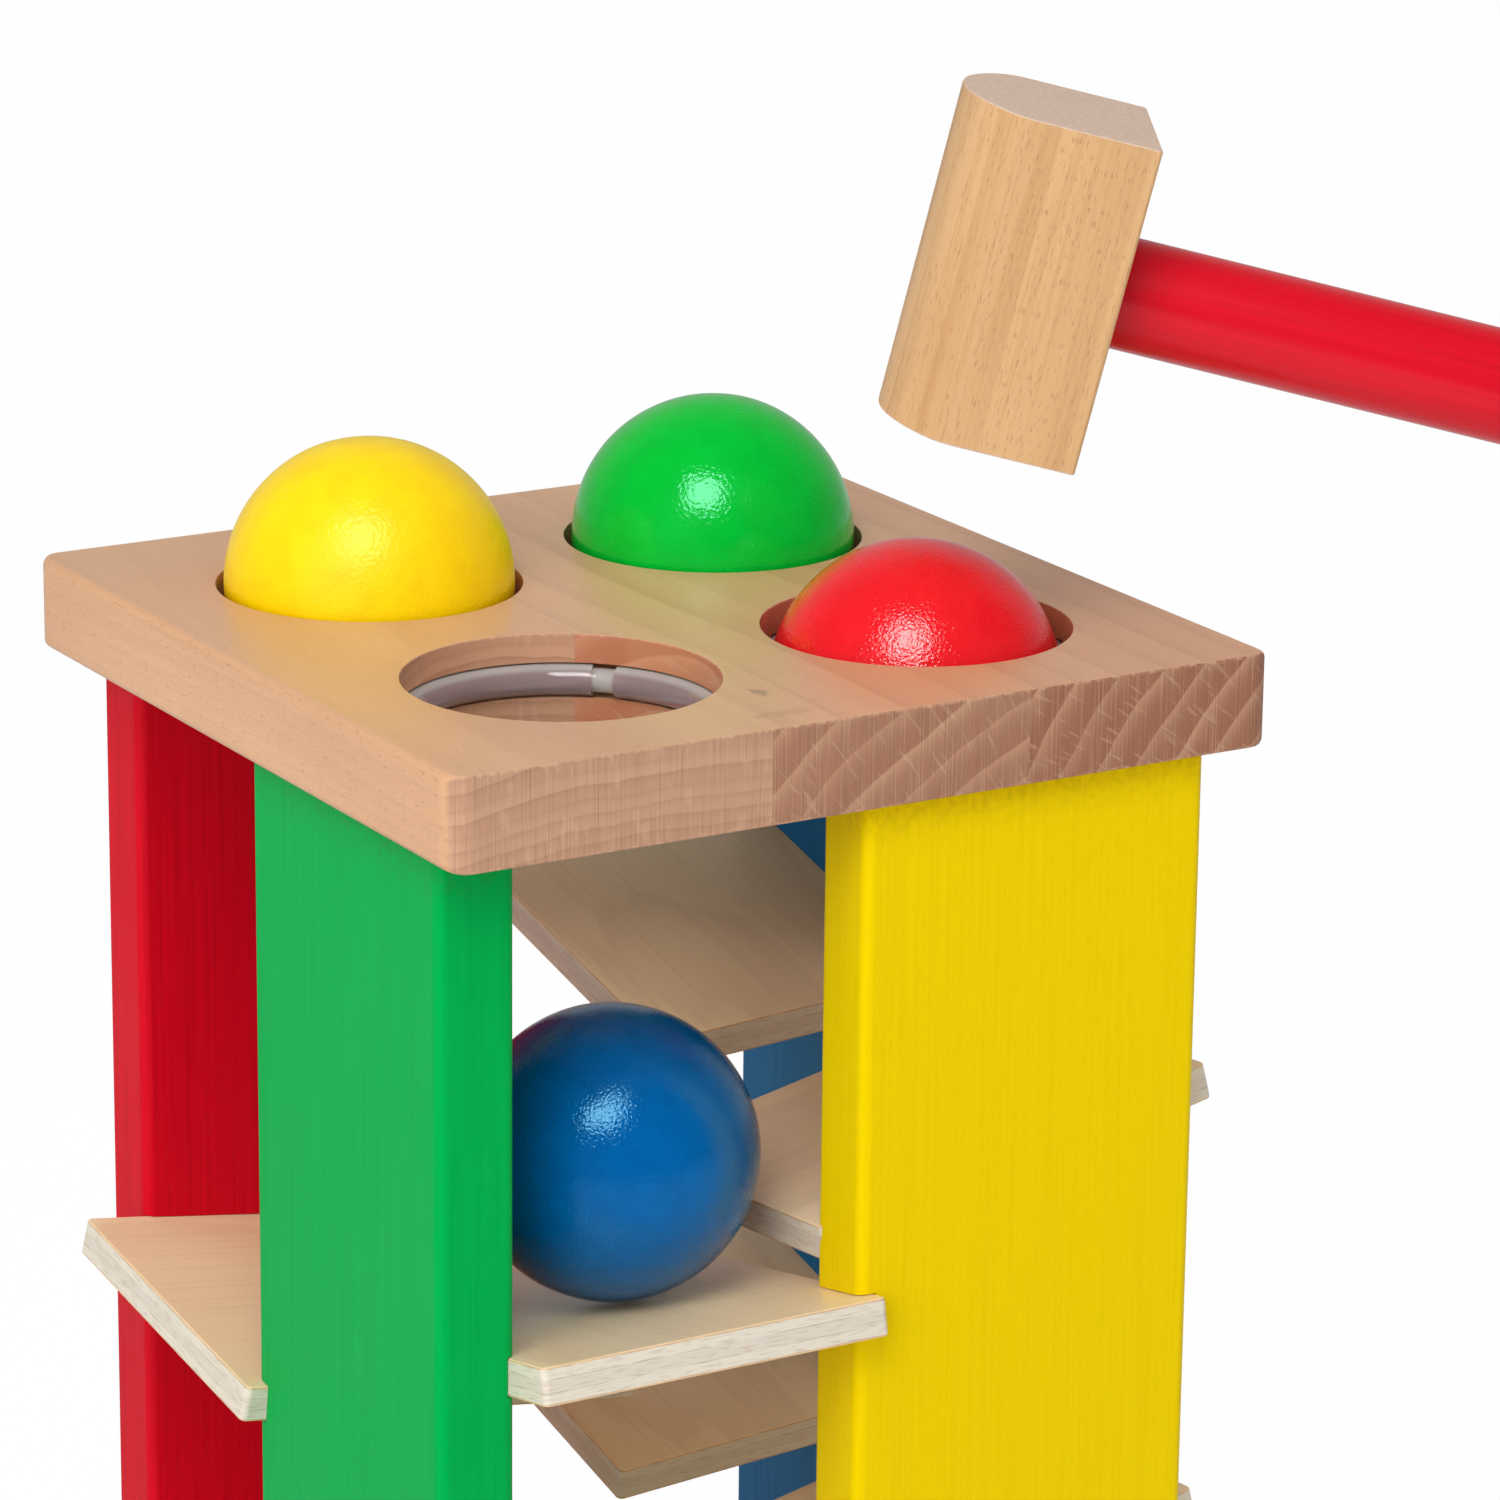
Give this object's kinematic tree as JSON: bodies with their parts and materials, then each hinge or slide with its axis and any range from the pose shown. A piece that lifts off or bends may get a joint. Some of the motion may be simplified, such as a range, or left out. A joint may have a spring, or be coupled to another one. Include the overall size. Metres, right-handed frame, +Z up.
{
  "type": "pounding ball tower",
  "caption": "Wooden pounding toy: balls are knocked through holes in a top plate, and roll down ramps between painted posts; a mallet goes with it.",
  "frame": {"origin": "centre of the base plate's underside", "axes": "+Z up, +X to the right and +Y to the back, along the sides of the plates, with the empty hole at the front left"},
  "size_m": [0.2678, 0.2102, 0.3426],
  "materials": {
    "beech": "clear satin lacquer over glued beech staves",
    "green_paint": "satin green stain over wood",
    "red_paint": "satin red stain over wood",
    "blue_paint": "satin blue stain over wood",
    "yellow_paint": "satin yellow stain over wood",
    "plywood": "bare plywood with its plies showing at the edges",
    "clear_plastic": "clear soft plastic tube",
    "dowel_wood": "bare beech",
    "zinc_steel": "zinc plated",
    "yellow_ball_lacquer": "gloss lacquer over wood",
    "green_ball_lacquer": "gloss lacquer over wood",
    "red_ball_lacquer": "gloss lacquer over wood",
    "blue_ball_lacquer": "gloss lacquer over wood",
    "mallet_wood": "clear satin lacquer, bare at the ends",
    "red_handle_lacquer": "gloss red lacquer"
  },
  "bodies": {
    "tower": {"top_plate": "beech", "base_plate": "beech", "post_green": "green_paint", "post_red": "red_paint", "post_blue": "blue_paint", "post_yellow": "yellow_paint", "ramp_1": "plywood", "ramp_2": "plywood", "ramp_3": "plywood", "ramp_4": "plywood", "ramp_5": "plywood", "ramp_6": "plywood", "ramp_7": "plywood", "ramp_8": "plywood", "ring_front_left": "clear_plastic", "ring_back_left": "clear_plastic", "ring_back_right": "clear_plastic", "ring_front_right": "clear_plastic", "dowel_1": "dowel_wood", "dowel_2": "dowel_wood", "dowel_3": "dowel_wood", "dowel_4": "dowel_wood", "dowel_5": "dowel_wood", "dowel_6": "dowel_wood", "dowel_7": "dowel_wood", "dowel_8": "dowel_wood", "base_screw_1": "zinc_steel", "base_screw_2": "zinc_steel", "base_screw_3": "zinc_steel", "base_screw_4": "zinc_steel", "base_screw_5": "zinc_steel", "base_screw_6": "zinc_steel", "base_screw_7": "zinc_steel", "base_screw_8": "zinc_steel"},
    "ball_yellow": {"ball_yellow": "yellow_ball_lacquer"},
    "ball_green": {"ball_green": "green_ball_lacquer"},
    "ball_red": {"ball_red": "red_ball_lacquer"},
    "ball_blue": {"ball_blue": "blue_ball_lacquer"},
    "mallet": {"mallet_head": "mallet_wood", "mallet_handle": "red_handle_lacquer"}
  },
  "joints": [
    {"name": "ball_yellow_drop", "type": "slide", "parent": "tower", "child": "ball_yellow", "axis": [0, 0, 1], "range_m": [-0.1015, 0.03], "deforming": ["ring_back_left"]},
    {"name": "ball_green_drop", "type": "slide", "parent": "tower", "child": "ball_green", "axis": [0, 0, 1], "range_m": [-0.0434, 0.03], "deforming": ["ring_back_right"]},
    {"name": "ball_red_drop", "type": "slide", "parent": "tower", "child": "ball_red", "axis": [0, 0, 1], "range_m": [-0.052, 0], "deforming": ["ring_front_right"]},
    {"name": "ball_blue_roll", "type": "slide", "parent": "tower", "child": "ball_blue", "axis": [0, 0.9803, -0.1977], "range_m": [-0.035, 0.02]},
    {"name": "mallet_swing", "type": "hinge", "parent": "tower", "child": "mallet", "pos_m": [0.16052, -0.11001, 0.27986], "axis": [0.497, 0.8678, 0], "range_deg": [-8.5, 40]}
  ]
}
